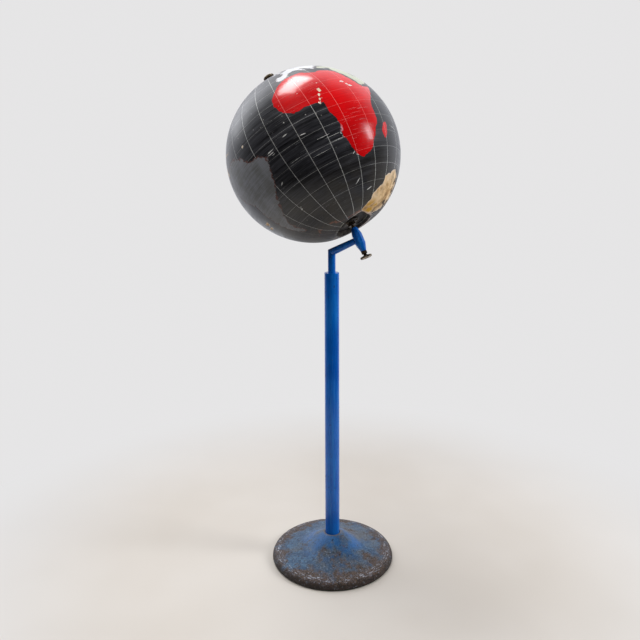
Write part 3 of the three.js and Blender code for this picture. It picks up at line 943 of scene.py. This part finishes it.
def build_base():
    outline = scaled([
        (145.9, 2.3), (145.9, 7), (144.4, 12), (140.5, 16.4), (133, 19.6), (124, 21.6), (104, 24.2),
        (84, 27.4), (70, 31.2), (57, 38.2), (45, 46.8), (34, 54.6), (26, 60), (21, 62.4),
        (17.5, 62.4), (17.5, 24), (6.4, 24), (6.4, 14), (34, 14), (40, 18.5), (60, 19.6),
        (100, 14.6), (131, 10), (134, 2.3),
    ])
    divided, longest = [], 5 * MM
    for start, end in zip(outline, outline[1:] + outline[:1]):
        pieces = max(1, int(dist(start, end) / longest))
        divided += [tuple(np.add(start, np.subtract(end, start) * k / pieces)) for k in range(pieces)]
    iron = dict(sides=288, soft=2.2 * MM, shape=cast, crease=50)
    turned_piece("base_iron", divided, "stand", "worn_base", "base_casting", **iron)
    baize = dict(sides=288, soft=0.5 * MM, shape=nap)
    pad = turned_piece("baize_disc", scaled(ring(0, 143, 0, 2)), "stand", "baize", "baize_pad", **baize)


def build_post():
    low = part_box("post_tube")[0].z
    wall, bush_inner, bush_outer = 2 * MM, 9.1 * MM, 14.9 * MM
    tube = ring(POST_RADIUS - wall, POST_RADIUS, low, POST_TOP)
    turned_piece("post_pipe", tube, "stand", "blue_paint", "post_tube", soft=0.9 * MM)
    bush = ring(bush_inner, bush_outer, *(corner.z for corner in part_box("post_bush")))
    turned_piece("post_bush_turned", bush, "stand", "blue_paint", "post_bush", soft=0.5 * MM)


def mitred_bar(name, place, radii, heights, slopes):
    """A round bar along Z, its two ends cut by planes that lean in X, with softened rims."""
    sides, soft = 96, 0.5 * MM
    steps = [0, 0.25, 0.7, 1.0]
    angle = circle(sides)
    vertices = []
    for end, sign, ordered in ((0, 1, steps), (1, -1, steps[::-1])):
        for s in ordered:
            r = radii[end] - (1 - sqrt(1 - (1 - s) ** 2)) * soft
            x, y = r * np.cos(angle), r * np.sin(angle)
            z = heights[end] + slopes[end] * x + sign * s * soft
            vertices += list(zip(x, y, z))
    return new_object(name, vertices, bar_faces(2 * len(steps), sides), place, 40)


ELBOW = Vector((0, 0, 749.7 * MM))
BOSS_RADIUS = 11 * MM  # to the middle of a flat


def build_arm():
    along = (BOSS_CENTRE - ELBOW).normalized()
    rise = asin(along.z)
    mitre = tan((pi / 2 - rise) / 2)
    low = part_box("arm_upright")[0].z
    upright = mitred_bar("arm_post", UPRIGHT, (STUB_RADIUS, STUB_RADIUS), (low, ELBOW.z), (0, -mitre))
    finish_piece(upright, "arm", "blue_paint", "arm_upright")

    # The bar tapers to the boss and ends a hair short of it, cut along the boss's side.
    gap, tip_radius = 0.1 * MM, 7.2 * MM
    lean = acos(BOSS_UP.z) - rise
    heights = gap, (BOSS_CENTRE - ELBOW).length - (BOSS_RADIUS + gap) / cos(lean)
    slopes = mitre, tan(lean)
    bar = mitred_bar("arm_reach", standing(ELBOW, along), (STUB_RADIUS, tip_radius), heights, slopes)
    finish_piece(bar, "arm", "blue_paint", "arm_bar")
    build_boss()
    build_axle()


def build_boss():
    """The octagonal boss with its tapered ends and a bore for the axle."""
    half, taper, end_radius, bore = 28.5 * MM, 17 * MM, 6.6 * MM, BORE * MM
    corner = BOSS_RADIUS / cos(pi / 8)
    sides, per_side = 8, 4
    columns = sides * per_side
    levels = [(-half, end_radius), (taper - half, corner), (half - taper, corner), (half, end_radius)]

    def octagon(radius, z):
        points = []
        for i in range(columns):
            side, k = divmod(i, per_side)
            start = pi / 8 + side * pi / 4
            a, b = (Vector((cos(t), sin(t))) * radius for t in (start, start + pi / 4))
            points.append((*a.lerp(b, k / per_side), z))
        return points

    vertices = [p for z, radius in levels for p in octagon(radius, z)]
    vertices += [(bore * cos(a), bore * sin(a), z) for z in (half, -half) for a in pi / 8 + circle(columns)]
    made = new_object("boss_octagon", vertices, loop_faces(len(levels) + 2, columns), UPRIGHT, 15)
    work = bmesh.new()
    work.from_mesh(made.data)
    bmesh.ops.dissolve_limit(work, angle_limit=radians(1), verts=work.verts, edges=work.edges)
    sharp = [e for e in work.edges if len(e.link_faces) == 2 and e.calc_face_angle(0) > radians(12)]
    sharp = [e for e in sharp if min(hypot(v.co.x, v.co.y) for v in e.verts) > bore * 1.05]
    bmesh.ops.bevel(work, geom=sharp, offset=0.7 * MM, segments=3, profile=0.6, affect="EDGES")
    work.to_mesh(made.data)
    work.free()
    made.data.transform(BOSS)
    made.data.polygons.foreach_set("use_smooth", [True] * len(made.data.polygons))
    made.data.set_sharp_from_angle(angle=radians(8))
    finish_piece(made, "arm", "blue_paint", "axle_boss")


def build_axle():
    """One rod: a threaded tail, the boss, a bend just above it, then up the polar axis."""
    above_boss, above_ball = 31.5, 231 * MM
    bend = BOSS_CENTRE + BOSS_UP * above_boss * MM
    reach = (bend - GLOBE_CENTRE).length + above_ball
    tail, step, pitch, thread_depth = -77.5 * MM, 0.2 * MM, 1.25 * MM, 0.55 * MM
    depths = [tail + i * step for i in range(260)]
    path = [bend + BOSS_UP * s for s in depths]
    path += [bend + BOSS_UP * s * MM for s in (-25, -6, -4, -2.4, -1)]
    path.append(bend)
    path += [bend + POLAR_AXIS * s * MM for s in (1, 2.4, 4, 6, 25)]
    path.append(bend + POLAR_AXIS * reach)

    def radii(i, angles):
        if i >= len(depths):
            return np.full(len(angles), AXLE_RADIUS)
        turn = depths[i] / pitch - angles / (2 * pi)
        tooth = np.abs((turn % 1) * 2 - 1)
        start = min(1.0, i / 5)
        return AXLE_RADIUS * (0.9 + 0.1 * start) - thread_depth * (1 - tooth) * start

    finish_piece(swept("axle_threaded", path, radii), "arm", "hardware_steel", "axle_rod")


def hexagon_nut(name, place, flats, bore, low, high):
    """A hexagon nut with chamfered corners and a bore."""
    columns = 48
    angles = circle(columns)
    hexagon = flats / 2 / np.cos((angles % (pi / 3)) - pi / 6)
    chamfer = 1.0 * MM
    face, shoulder, uncut = flats / 2 * 0.97, flats / 2 * 1.08, flats
    rows = [(np.minimum(hexagon, limit), z) for z, limit in (
        (low, face), (low + chamfer * 0.45, shoulder), (low + chamfer, uncut),
        (high - chamfer, uncut), (high - chamfer * 0.45, shoulder), (high, face),
    )]
    rows += [(np.full(columns, bore), high), (np.full(columns, bore), low)]
    vertices = [(r * cos(a), r * sin(a), z) for radius, z in rows for r, a in zip(radius, angles)]
    return new_object(name, vertices, loop_faces(len(rows), columns), place, 28)


def knurled(teeth, depth, rim_radius):
    """A shape for turned() that cuts fine teeth into the rim."""
    def shape(x, y, z):
        reach, angle = np.hypot(x, y), np.arctan2(y, x)
        amount = np.clip((reach - rim_radius * 0.97) / (rim_radius * 0.03), 0, 1)
        cut = 1 - amount * depth / rim_radius * (0.5 + 0.5 * np.cos(angle * teeth))
        return x * cut, y * cut, z
    return shape


def build_nuts():
    nut = hexagon_nut("lock_nut_chamfered", BOSS, 12.5 * MM, BORE * MM, -35.3 * MM, -28.8 * MM)
    finish_piece(nut, "arm", "hardware_steel", "lock_nut")
    turned_piece(
        "thumb_washer_turned", scaled(ring(BORE, 6.4, -40.3, -39)), "thumb_washer", "hardware_steel",
        "thumb_washer", place=BOSS, soft=0.3 * MM,
    )

    hand_nut = dict(sides=432, soft=0.5 * MM, shape=knurled(54, 0.35 * MM, 13.5 * MM))
    thumb = scaled([
        (BORE, -45.4), (8, -45.4), (9, -45.0), (11.8, -45.4), (13.5, -44.4), (13.5, -41.6),
        (12.5, -40.6), (BORE, -40.6),
    ])
    turned_piece("thumb_nut_knurled", thumb, "thumb_nut", "bronze", "thumb_nut", place=BOSS, **hand_nut)
    cap = scaled([
        (BORE, 227.4), (12.5, 227.4), (13.5, 228.4), (13.5, 231.2), (12.5, 232.2), (10, 232.6),
        (7, 233.4), (0, 234), (0, 231.4), (BORE, 231.4),
    ])
    turned_piece("pole_nut_knurled", cap, "pole_nut", "bronze", "pole_nut", place=POLAR, **hand_nut)


def paint_carried_nodes():
    """Materials for the CAD nodes that are shown as they are, all inside the ball or the stand."""
    slots = {part["node"]: part["material_slot"] for part in frame["record"]["subparts"]}
    for node, made in frame["nodes"].items():
        made.data.materials.clear()
        made.data.materials.append(SURFACES[slots[node]])


# ---- the studio --------------------------------------------------------------------------

BRIGHT_SIDE = Vector((-0.616, 0.787, 0.15)).normalized()
# How bright the room is, from the side away from BRIGHT_SIDE (0) to that side itself (1).
ROOM = [
    (0.0, (0.02, 0.02, 0.022)), (0.5, (0.07, 0.07, 0.075)), (0.6, (0.2, 0.2, 0.215)),
    (0.8, (1.1, 1.12, 1.2)),
]


def build_world():
    """A room that is bright behind the ball and dim on the camera's side, and looks plain."""
    world = bpy.data.worlds.new("studio")
    world.use_nodes = True
    g = Graph(world.node_tree)
    g.tree.nodes["Background"].inputs["Color"].default_value = (*BACKGROUND, 1)
    sides = {0: g.add("ShaderNodeTexCoord"), 1: BRIGHT_SIDE}
    facing = g.add("ShaderNodeVectorMath", sides, output="Value", operation="DOT_PRODUCT")
    grade = g.add("ShaderNodeValToRGB", {0: g.add("ShaderNodeMapRange", {"Value": facing, "From Min": -1})})
    elements = grade.socket.node.color_ramp.elements
    while len(elements) < len(ROOM):
        elements.new(0.5)
    for element, (at, colour) in zip(elements, ROOM):
        element.position, element.color = at, (*colour, 1)
    seen = g.add("ShaderNodeLightPath", output="Is Camera Ray")
    lit = g.add("ShaderNodeBackground", {"Color": grade})
    g.show(g.add("ShaderNodeMixShader", {0: seen, 1: lit, 2: g.made("Background")}), "World Output")
    scene.world = world


def softbox(name, direction, distance, width, height, power, colour, mirrored=True):
    data = bpy.data.lights.new(name, "AREA")
    data.shape = "RECTANGLE"
    data.size, data.size_y = width, height
    data.energy = power
    data.color = colour
    lamp = bpy.data.objects.new(name, data)
    scene.collection.objects.link(lamp)
    lamp.location = GLOBE_CENTRE + Vector(direction).normalized() * distance
    lamp.rotation_euler = (-Vector(direction)).to_track_quat("-Z", "Y").to_euler()
    lamp.visible_glossy = mirrored


def build_studio():
    corners = [(FLOOR_RADIUS * cos(a), FLOOR_RADIUS * sin(a), 0) for a in np.radians(range(0, 360, 5))]
    floor = new_object("floor", corners, [tuple(range(len(corners)))])
    floor.data.materials.append(floor_surface())
    build_world()
    softbox("overhead_box", (-0.33, 0.0, 0.94), 2.2, 1.15, 0.62, 27, (1, 1, 1))
    softbox("window_box", (0.827, 0.408, 0.386), 3.0, 0.42, 0.75, 10, (0.93, 0.96, 1.0))
    softbox("side_fill", (0.86, 0.40, 0.32), 3.2, 1.0, 1.4, 64, (0.97, 0.98, 1.0), mirrored=False)
    softbox("left_wall", (-0.86, -0.02, 0.5), 3.0, 1.9, 1.9, 26, (0.94, 0.96, 1.0))
    softbox("ceiling_fill", (0.12, -0.62, 0.78), 2.6, 2.4, 2.4, 44, (1, 0.99, 0.97), mirrored=False)


def build_camera():
    """A viewpoint a little right of the arm's plane and level with the ball."""
    azimuth = radians(36.5)
    stand_off, height = 1.5105, 0.9344
    data = bpy.data.cameras.new("camera")
    data.sensor_width = 36
    data.lens = 37.14
    data.shift_y = -0.09
    camera = bpy.data.objects.new("camera", data)
    scene.collection.objects.link(camera)
    camera.location = (stand_off * sin(azimuth), -stand_off * cos(azimuth), height)
    camera.rotation_euler = (radians(82.13), radians(0.287), radians(37.49))
    scene.camera = camera


paint_carried_nodes()
build_base()
build_post()
build_arm()
build_nuts()
build_ball()
build_studio()
build_camera()
scene.view_settings.view_transform = "Standard"
